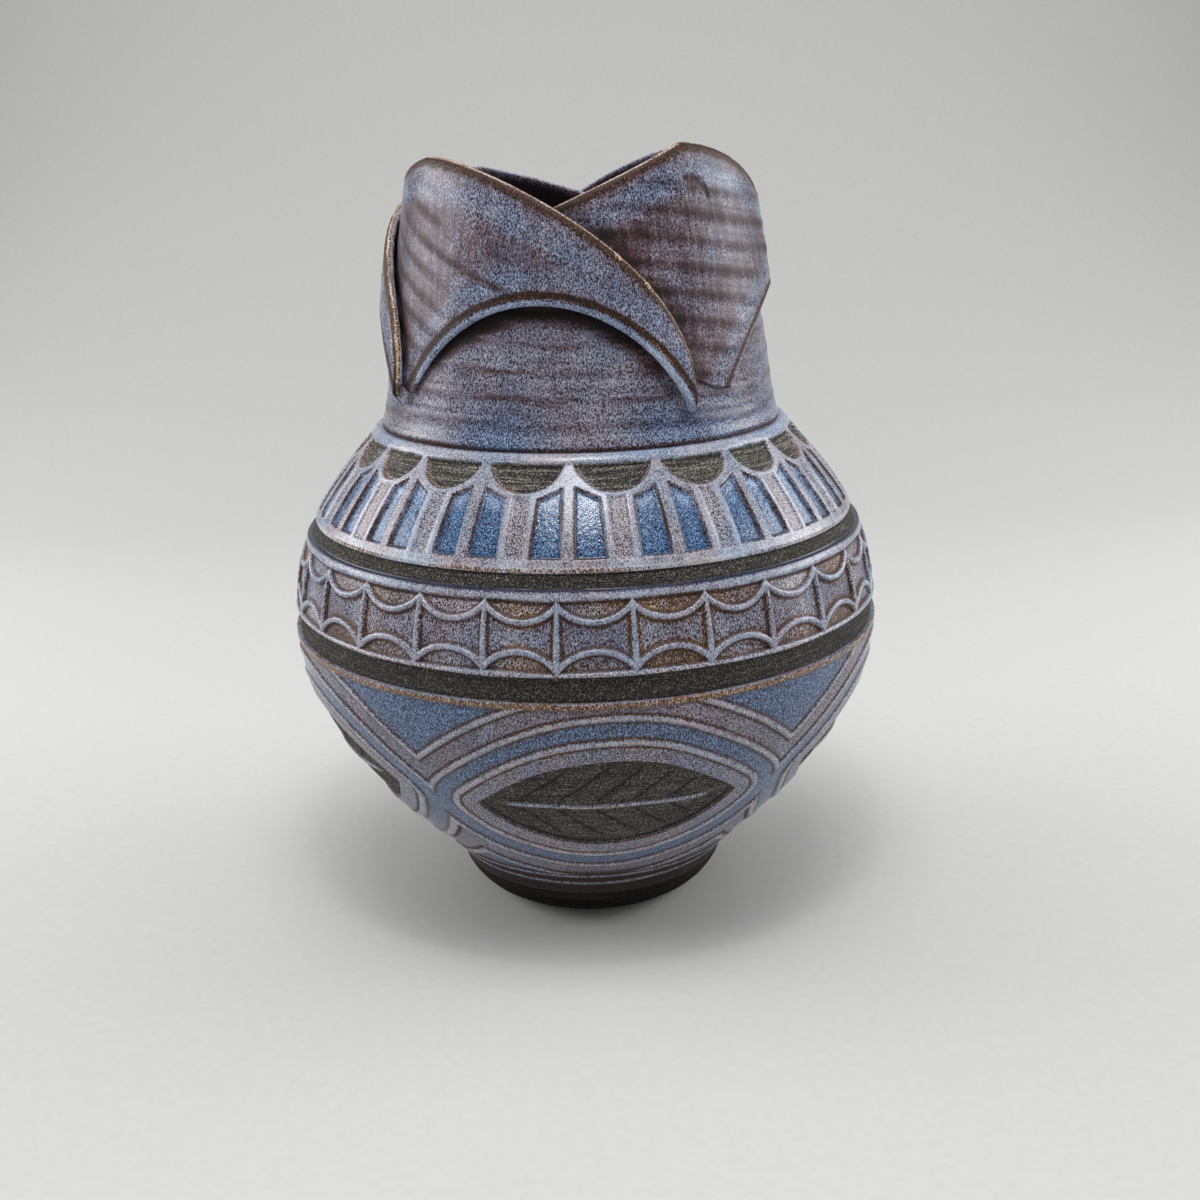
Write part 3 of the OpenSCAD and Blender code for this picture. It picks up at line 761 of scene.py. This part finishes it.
def petal_reach(phi):
    """Radius that the collar's top can flare to, inside every petal, softened round the neck."""
    reach = np.full(phi.shape, PETAL_LOW_R)
    for petal in PETALS.values():
        lower, upper = petal_edges(petal)
        side, lip = lower[:SIDE_STATIONS], upper[SIDE_STATIONS:]
        first, last = (np.interp(COLLAR_H, e[::-1, 1], e[::-1, 0]) for e in (side, lip))
        angle = angle_from(phi, petal.turn)
        _, inner = petal_faces(angle, np.full(phi.shape, COLLAR_H), petal.tip)
        reach = np.where((angle > first) & (angle < last), np.minimum(reach, inner), reach)
    near = range(-REACH_SOFT, REACH_SOFT + 1)
    reach = least(*(np.roll(reach, k, 1) for k in near))
    return sum(np.roll(reach, k, 1) for k in near) / len(near) - SLIP_SEAM


def collar_piece(columns=840, step=0.5):
    """The thrown collar: ringed and glazed outside, darkened inside with painted shade, its top flared
    out to the petals.
    """
    phi = all_round(columns)
    rows = COLLAR.rows(SHOULDER_Z, COLLAR_TOP_Z, step)
    r, z, out_r, out_z, _ = (v[:, None] for v in rows)
    rings = throwing_rings(z, 20, phi, z, fine=4, change=0.5)
    groove = 1 - smooth(z, SHOULDER_Z + 0.2, SHOULDER_Z + 1.6)
    out = COLLAR_RING_H * rings - GROOVE_DEPTH * groove
    filled = smooth(z, COLLAR_TOP_Z - SLIP_RISE, COLLAR_TOP_Z)
    slip = filled * np.maximum(0, petal_reach(phi) - COLLAR_TOP_R)
    face = turned(r + out * out_r + slip, z + out * out_z, phi)
    seam = z - SHOULDER_Z + wander(22, phi, 0 * z, 0.2, (3, 7, 11))
    thin = np.clip(0.6 + wander(23, phi, 0 * z, 0.6, (2, 3, 5)), 0.1, 1)
    deep = shadow_under_crescents(phi, z - SHOULDER_Z)
    # Painted shadow under the crescents: the collar is darker there, and browned with iron where the
    # glaze runs thin
    shade = 0.02 - 0.2 * rings - 0.75 * deep
    shade = shade + 0.1 * line(seam - 3.2, 3, 1.2) - 0.3 * line(seam - 0.7, 1.1, 0.4)
    iron = np.maximum(0.9 * thin * line(seam - 1.1, 1.7, 0.5), 0.8 * line(seam - 0.5, 0.9))
    iron = np.maximum(iron, 0.3 * rings + 0.5 * deep)
    pooled = (1 - smooth(seam, 3, 16)) * np.clip(0.25 + wander(24, phi, z, 0.6, (2, 5, 8)), 0, 0.7)
    marks = marks_of(out.shape, shade, iron, pooled)
    # The flared top, hidden behind the petals, takes the inside's painted shade
    marks = mix(marks, inside_shade_marks(out.shape), filled[..., None])
    share = np.linspace(1, 0, 24)
    heights = mix(SHOULDER_Z, COLLAR_TOP_Z, share)
    wall = mix(COLLAR_WALL, COLLAR_EDGE, share**2)
    inner = np.interp(heights, rows[1], rows[0]) - wall
    back, back_marks = plain(np.stack([inner, heights], 1), phi)
    points, marks = np.concatenate([face, back]), np.concatenate([marks, back_marks])
    return build("collar", points, True, marks, 3)


PETAL_T = 3.2
PETAL_PRESSED_T = 1.3
PETAL_LOW_R = 63
PETAL_HIGH_R = 51.2
LAP_GAP = 0.8
SLIP_SEAM = 0.3
CRESCENT_H = 39.5
CORNER_H = 14
RIM_H = 83
START_ANGLE = -106
PEAK_ANGLE = -54
TIP_ANGLE = 30.9
EDGE_H = 1.2
# Handles of the petals' edge curves, each an angle and a height
SIDE_FROM, SIDE_TO = (18, -14), (-24, 2)
LIP_FROM, LIP_TO = (38.5, -1.2), (8.4, 40)
CRESCENT_ANGLES = (28, -13.6)
CRESCENT_TILT = 5
# Petals lean in with height, and each winds outward by its own thickness and the lap gap
LEAN_POWER = 1.35
LAP_TURN = 88
WIND_ANGLE = -98
WIND_SPAN = 120
WIND_INSET = 2.2
# Stations along a petal's side and its lip, and points of each section's rounded edge and its face
SIDE_STATIONS = 80
LIP_STATIONS = 170
ARC_POINTS = 7
FACE_POINTS = 84
PETAL_RING_H = 0.25
NICK_H = 0.22
PETAL_SEED = 30
# Level of the one strong throwing line on the front petal, and the angles that it runs between
STREAK_LEVEL = 35.5
STREAK_FROM, STREAK_TO = -54, -8
# The other rings of the front petal show only to the left of this angle
FRONT_RINGS_END = -36
# Angles of two small nubs of clay on the front petal's lip, a small pressed hook on the right petal,
# and the middle and reach of an ochre fleck below it, each an angle and a height
NUB_ANGLES = (11.7, 19.3)
NUB_REACH = 0.8
NUB_H = 0.8
HOOK = [(-55.2, 72.2), (-52, 73), (-48.5, 71.2), (-46.8, 67.4)]
HOOK_W = 1.7
HOOK_DEPTH = 0.35
FLECK_AT = (-47.6, 57.8)
FLECK_REACH = (1.0, 2.6)
# Each petal: turn round the neck, corner's angle, bow of its top edge, height of its peak, drop to
# its start, height of its tip, bevel of its crescent, and its throwing rings: their fall in millimetres
# up per millimetre along, and their strength
Petal = namedtuple("Petal", "turn corner_angle bow peak drop tip bevel_h fall ringed")
PETALS = {
    "front": Petal(0, -52, 2.2, 80, 12.5, 6.5, 2.2, 0.4, 0.9),
    "right": Petal(91, -45.5, 0, 82, 20, 7, 1.4, 0.08, 1.0),
    "back": Petal(187, -50, 0.8, 83, 17, 8, 2.0, 0.3, 0.8),
    "left": Petal(272, -50, 1.6, 78, 12.5, 10, 2.0, -0.2, 0.7),
}


def handled(a, a_handle, b_handle, b):
    """A curve's four points, from its ends and the handles at them."""
    a, b = np.array(a, float), np.array(b, float)
    return [a, a + a_handle, b + b_handle, b]


def petal_edges(petal):
    """Lower and upper ends of a petal's stations, each an angle and a height above the shoulder."""
    start, top = (START_ANGLE, petal.peak - petal.drop), (PEAK_ANGLE, petal.peak)
    corner, end = (petal.corner_angle, CORNER_H), (TIP_ANGLE, petal.tip)
    third, fall = (PEAK_ANGLE - START_ANGLE) / 3, petal.drop / 3
    rise = handled(start, (third, fall + petal.bow), (-third, petal.bow - fall), top)
    side = handled(start, SIDE_FROM, SIDE_TO, corner)
    lip = handled(top, LIP_FROM, LIP_TO, end)
    pull = (CRESCENT_H * 8 - CORNER_H - petal.tip) / 6
    leave = (CRESCENT_ANGLES[0], pull + CRESCENT_TILT - CORNER_H)
    arrive = (CRESCENT_ANGLES[1], pull - CRESCENT_TILT - petal.tip)
    crescent = handled(corner, leave, arrive, end)
    first = np.linspace(0, 1, SIDE_STATIONS + 1)[1:]
    rest = np.linspace(0, 1, LIP_STATIONS + 1)[1:-1]
    lower = np.concatenate([bezier(side, first), bezier(crescent, rest)])
    upper = np.concatenate([bezier(rise, first), bezier(lip, rest)])
    return lower, upper


def petal_faces(angle, height, tip):
    """Outer and inner radius of a petal at an angle and a height above the shoulder."""
    lean = mix(PETAL_LOW_R, PETAL_HIGH_R, (np.maximum(0, height) / RIM_H) ** LEAN_POWER)
    per_degree = (PETAL_T + LAP_GAP) / LAP_TURN
    wind = per_degree * np.minimum(angle - WIND_ANGLE, WIND_SPAN) - WIND_INSET
    over = height > COLLAR_H
    seat = np.where(over, 0, COLLAR.radius(SHOULDER_Z + height)) + SLIP_SEAM
    full = np.maximum(lean + wind, seat + PETAL_PRESSED_T)
    free = smooth(height, tip, CORNER_H)
    return mix(seat + PETAL_PRESSED_T, full, free), mix(seat, np.maximum(seat, full - PETAL_T), free)


def edge_distance(angle, height, edge):
    """Distance in millimetres, over the unrolled petal, from each point to an edge curve."""
    scale = np.array([math.radians(1) * PETAL_LOW_R, 1])
    points, edge = np.stack([angle, height], -1) * scale, edge * scale
    return np.stack([np.hypot(*(row[:, None] - edge[None]).transpose(2, 0, 1)).min(1) for row in points])


def lapping_edge(name):
    """The lip of the petal that laps over this one, in this petal's own angles."""
    names = list(PETALS)
    over = PETALS[names[names.index(name) - 1]]
    _, lip = petal_edges(over)
    return lip + [angle_from(over.turn, PETALS[name].turn), 0]


def petal_section(tall, bevel_h):
    """Section round each of a petal's stations, up the outside and down the inside.

    Gives each point's share of the station's height, and its side, from 1 outside to -1 inside.
    """
    bevel = mix(EDGE_H, bevel_h, smooth(np.arange(len(tall)), SIDE_STATIONS - 3, SIDE_STATIONS + 12))
    low_edge = (np.minimum(bevel, tall / 4) / tall)[:, None]
    high_edge = (np.minimum(PETAL_T / 2, tall / 4) / tall)[:, None]
    arc = np.linspace(0, math.pi / 2, ARC_POINTS)
    face = np.linspace(0, 1, FACE_POINTS)[1:-1]
    low_share = low_edge * (1 - np.cos(arc))
    high_share = 1 - high_edge * (1 - np.cos(arc[::-1]))
    up = np.concatenate([low_share, mix(low_edge, 1 - high_edge, face), high_share], 1)
    bulge = np.concatenate([np.sin(arc), np.ones_like(face), np.sin(arc[::-1])])
    share = np.concatenate([up, up[:, -2:0:-1]], 1)
    return share, np.concatenate([bulge, -bulge[-2:0:-1]])[None, :]


def petal_piece(name, petal):
    """One petal: lofted between its edges, ringed, nicked at its lip, and marked where it is worn, with
    painted shade and highlight among its marks.
    """
    lower, upper = petal_edges(petal)
    share, side = petal_section((upper - lower)[:, 1], petal.bevel_h)
    at = mix(lower[:, None, :], upper[:, None, :], share[..., None])
    angle, height = at[..., 0], at[..., 1]
    outer, inner = petal_faces(angle, height, petal.tip)
    to_lip = edge_distance(angle, height, upper)
    to_side = edge_distance(angle, height, lower[:SIDE_STATIONS])
    to_crescent = edge_distance(angle, height, lower[SIDE_STATIONS - 1:])
    seed = PETAL_SEED + int(petal.turn)
    level = height + petal.fall * np.radians(angle) * PETAL_LOW_R
    clear = smooth(to_crescent, 3, 7) * smooth(to_lip, 3, 7)
    rings = throwing_rings(level, seed, angle + petal.turn, height, fine=2, change=0.3)
    rings = petal.ringed * rings * clear
    nicks = wander(seed + 5, 3 * angle, height, NICK_H, (17, 23, 41, 57), 3)
    nicks = nicks * (1 - smooth(to_lip, 0.5, 2.5))
    outside = np.clip(side, 0, 1)
    hook = nub = 0
    if name == "front":
        nub = sum(np.exp(-((angle - at_angle) / NUB_REACH) ** 2) for at_angle in NUB_ANGLES)
        nub = nub * (1 - smooth(to_lip, 0.6, 1.8))
    if name == "right":
        curve = bezier(HOOK, np.linspace(0, 1, 40))
        hook = line(edge_distance(angle, height, curve), HOOK_W, 0.5) * outside
    r = (outer + inner) / 2 + side * (outer - inner) / 2
    r = r + outside * PETAL_RING_H * rings + nicks + NUB_H * nub - HOOK_DEPTH * hook
    points = turned(r, SHOULDER_Z + height, angle + petal.turn)
    if name == "front":
        rings = rings * (1 - 0.85 * smooth(angle, FRONT_RINGS_END - 12, FRONT_RINGS_END))
    high = smooth(height, CORNER_H, COLLAR_H + 12)
    marks = petal_marks(
        angle, high, side + 0 * angle, to_lip, to_side, to_crescent, petal.bevel_h, rings, seed
    )
    # Painted shade next to the lip of the petal that laps over this one, with some iron where the glaze
    # runs thin in the crevice
    lapped_shade = (1 - smooth(edge_distance(angle, height, lapping_edge(name)), 0.5, 8)) * outside
    marks = marks + lapped_shade[..., None] * [-0.22, 0.2, 0, 0]
    if name == "front":
        # Painted shade: the front petal is made darker towards its right side
        marks[..., 0] -= 0.07 * smooth(angle, -25, 10) * clear
        streak = line(level - STREAK_LEVEL + wander(29, angle, height, 0.8), 2.2, 1.0) * clear
        fade = 1 - smooth(angle, STREAK_TO - 12, STREAK_TO)
        streak = streak * smooth(angle, STREAK_FROM, STREAK_FROM + 8) * fade
        marks = mix(marks, marks_of(r.shape, -0.34, 0.35), 0.95 * streak[..., None])
        marks = mix(marks, marks_of(r.shape, 0.8, 0.8), nub[..., None])
    if name == "right":
        marks = mix(marks, marks_of(r.shape, -0.45, 0.6), 0.95 * hook[..., None])
        fleck = (at - FLECK_AT) / FLECK_REACH
        fleck = np.hypot(fleck[..., 0], fleck[..., 1])
        fleck = (1 - smooth(fleck, 0.3, 1.0)) * outside
        marks = mix(marks, marks_of(r.shape, 0.35, 0.85), fleck[..., None])
    ends = np.array([
        turned(np.mean(petal_faces(np.array(a), np.array(h), petal.tip)), SHOULDER_Z + h, a + petal.turn)
        for a, h in ((START_ANGLE, petal.peak - petal.drop), (TIP_ANGLE, petal.tip))
    ])
    return build("petal_" + name + "_skin", points, False, marks, 1, ends=ends)


def petal_marks(angle, high, side, to_lip, to_side, to_crescent, bevel_h, rings, seed):
    """Iron on the lips and above the crescent, pale crests that are partly a painted highlight, a pale
    bevel, a painted highlight on the inner lip edge, and painted shade inside.
    """
    within = smooth(-side, 0.3, 0.9)
    ragged = wander(seed + 7, 4 * angle, to_lip, 0.35, (13, 19, 31, 47), 2)
    worn = np.clip(0.6 + wander(seed + 8, 2 * angle, to_lip, 0.8, (7, 11, 17, 29), 4), 0, 1)
    past_bevel = to_crescent - bevel_h
    lip = 1 - smooth((to_lip + ragged) / mix(0.5, 1, high), 1.4, 3.8)
    # crest: the pale line along the lips' top, where the glaze runs thin, partly a painted highlight
    crest = (1 - smooth(to_lip, 0.3, 0.6)) * line(side - 0.32, 0.5, 0.15)
    round_top = 1 - smooth(to_lip, 1.0, 1.8)
    # inner_edge: a painted highlight along the lip's inner edge
    inner_edge = (1 - smooth(to_lip, 0.3, 1.0)) * smooth(-side, -0.2, 0.3)
    band_w = 0.9 * bevel_h
    band = line(past_bevel - 0.4 * band_w + 0.4 * ragged, band_w, 0.6) * (1 - within)
    gold = line(past_bevel - 0.3, 0.5, 0.25) * (1 - within) * worn
    pale = (1 - smooth(past_bevel, -0.7, -0.1)) * smooth(to_side, 2, 6)
    thin = (1 - smooth(to_side, 0.4, 0.9)) * (1 - within)
    bloom = line(to_lip - 8 + ragged, 6, 2.5) + line(past_bevel - 5, 5, 2)
    bloom = np.clip(bloom * (1 - within), 0, 1)
    dusk = line(to_lip - 16 + 2 * ragged, 9, 4) * (1 - within)
    shade = -0.08 - 0.28 * rings + 0.16 * bloom - 0.06 * dusk
    shade = shade - 0.15 * lip - 0.1 * round_top - 0.4 * band + (0.7 + 0.4 * worn) * crest + 0.4 * gold
    # The inside faces are darkened with painted shade, and the inner lip edge is lightened with a
    # painted highlight
    shade = shade + 0.35 * pale - 0.12 * thin - 0.6 * within * smooth(to_lip, 1, 4) + 0.55 * inner_edge
    iron = most(lip, band, 0.6 * thin, 0.3 * rings + 0.12 * dusk)
    iron = iron * (1 - 0.3 * crest) * (1 - pale) * (1 - 0.6 * within) * (1 - 0.8 * inner_edge)
    blue = 0.75 * pale + 0.2 * within * (1 - inner_edge) + 0.26 * bloom * (1 - lip)
    return marks_of(iron.shape, shade, iron, blue)


# Studio: a pale floor that sweeps up into walls all round, soft light, and the photograph's camera

def studio():
    """One sheet of pale paper: the floor, its sweep, and upright walls with rounded corners."""
    n = Nodes("paper")
    fibre = n.noise(3, detail=3.0)
    paper = n.finish(Base_Color=n.ramp(fibre, [(0.3, "cdcdca"), (0.7, "d1d1cf")]), Roughness=0.9)
    # Radii of the sweep and of the corners, and places of the walls and their height, in metres
    bend, corner, side, back, front, tall = 0.6, 0.8, 1.7, 1.1, -1.8, 2.0
    bend_steps, corner_steps = 24, 12
    quarter = math.pi / 2
    centres = [
        (side - corner, back - corner), (corner - side, back - corner),
        (corner - side, front + corner), (side - corner, front + corner),
    ]
    sweep = [
        (bend * (1 - math.sin(a)), bend * (1 - math.cos(a)))
        for a in np.linspace(0, quarter, bend_steps)
    ]
    turns = [
        (x, y, k * quarter + a)
        for k, (x, y) in enumerate(centres) for a in np.linspace(0, quarter, corner_steps)
    ]
    count = len(turns)
    verts = [
        (x + (corner - inset) * math.cos(a), y + (corner - inset) * math.sin(a), z)
        for inset, z in [*sweep, (0, tall)] for x, y, a in turns
    ]
    faces = [list(range(count))]
    for i in range(len(sweep)):
        for j in range(count):
            here, along = i * count + j, i * count + (j + 1) % count
            faces.append((here, here + count, along + count, along))
    mesh = bpy.data.meshes.new("floor")
    mesh.from_pydata(verts, [], faces)
    mesh.shade_smooth()
    mesh.materials.append(paper)
    floor = bpy.data.objects.new("floor", mesh)
    bpy.context.collection.objects.link(floor)


def lamp(name, place_m, aim_m, size, power):
    """A soft rectangular lamp at a place, turned to an aim, both in metres."""
    data = bpy.data.lights.new(name, "AREA")
    data.shape = "RECTANGLE"
    data.size, data.size_y = size
    data.energy = power
    obj = bpy.data.objects.new(name, data)
    bpy.context.collection.objects.link(obj)
    way = np.subtract(aim_m, place_m)
    pitch = math.atan2(math.hypot(way[0], way[1]), -way[2])
    yaw = math.atan2(way[0], -way[1])
    obj.matrix_world = (
        Matrix.Translation(place_m) @ Matrix.Rotation(yaw, 4, "Z") @ Matrix.Rotation(-pitch, 4, "X")
    )


TENT_COLOUR = (0.9, 0.93, 1.0, 1.0)
TENT_STRENGTH = 0.23


def lights():
    """Soft lamps above, in front and at both sides, and a dim even tent of light."""
    lamp("top", (0.0, 0.2, 0.95), (0.0, 0.2, 0.1), (1.6, 1.0), 3.4)
    lamp("key", (0.0, -0.36, 1.0), (0.0, -0.05, 0.1), (0.5, 0.35), 3.6)
    lamp("spark", (0.0, -0.3, 0.72), (0.0, -0.05, 0.14), (0.08, 0.05), 0.5)
    lamp("front", (0.0, -1.3, 0.6), (0.0, 0.0, 0.12), (1.4, 0.6), 0.8)
    lamp("left", (-0.9, 0.15, 0.48), (0.0, 0.0, 0.14), (0.7, 0.5), 5.2)
    lamp("right", (0.9, 0.15, 0.48), (0.0, 0.0, 0.14), (0.7, 0.5), 5.0)
    world = bpy.data.worlds.new("tent")
    bpy.context.scene.world = world
    world.use_nodes = True
    tent = world.node_tree.nodes["Background"].inputs
    tent["Color"].default_value = TENT_COLOUR
    tent["Strength"].default_value = TENT_STRENGTH
    bpy.context.scene.view_settings.view_transform = "Standard"


# Place in metres, angles in degrees, lens and sensor in millimetres
CAMERA_PLACE = (0.00472, -0.4289, 0.2315)
CAMERA_DOWN = 17.29
CAMERA_ROLL = 1.46
CAMERA_LENS = 39.98
CAMERA_SENSOR = 36


def camera():
    """The photograph's camera, in front of the vase and looking down on it."""
    data = bpy.data.cameras.new("camera")
    data.sensor_width = CAMERA_SENSOR
    data.lens = CAMERA_LENS
    data.clip_start = 0.01
    obj = bpy.data.objects.new("camera", data)
    bpy.context.collection.objects.link(obj)
    tilt = Matrix.Rotation(math.radians(90 - CAMERA_DOWN), 4, "X")
    roll = Matrix.Rotation(math.radians(-CAMERA_ROLL), 4, "Z")
    obj.matrix_world = Matrix.Translation(CAMERA_PLACE) @ tilt @ roll
    bpy.context.scene.camera = obj


camera()
studio()
lights()

carved = glaze("carved_glaze", streak=(1, 1, 6), drift=0.045, gleam=0.45)
thrown = glaze("neck_glaze", streak=(6, 6, 0.8), drift=0.08, gleam=0.3)
petal_skin = glaze("petal_glaze", streak=(1, 1, 8), drift=0.08, gleam=0.3)

place(belly_piece(), ["body"], carved)
bands = ring_piece(
    "bands", LOWER_STRIPE[0], UPPER_STRIPE[1], middle_bands, columns=1680, step=0.34, strips=5
)
place(bands, ["body"], carved)
shoulder = ring_piece(
    "shoulder", UPPER_STRIPE[1], SHOULDER_Z, shoulder_band, columns=1520, step=0.36, strips=5,
    top_rows=[(COLLAR_BASE_R - COLLAR_WALL, SHOULDER_Z)],
)
place(shoulder, ["body"], carved)
place(foot_piece(), ["foot_ring"], foot_clay())
place(collar_piece(), ["neck_collar"], thrown)
for name, petal in PETALS.items():
    place(petal_piece(name, petal), ["petal_" + name], petal_skin)
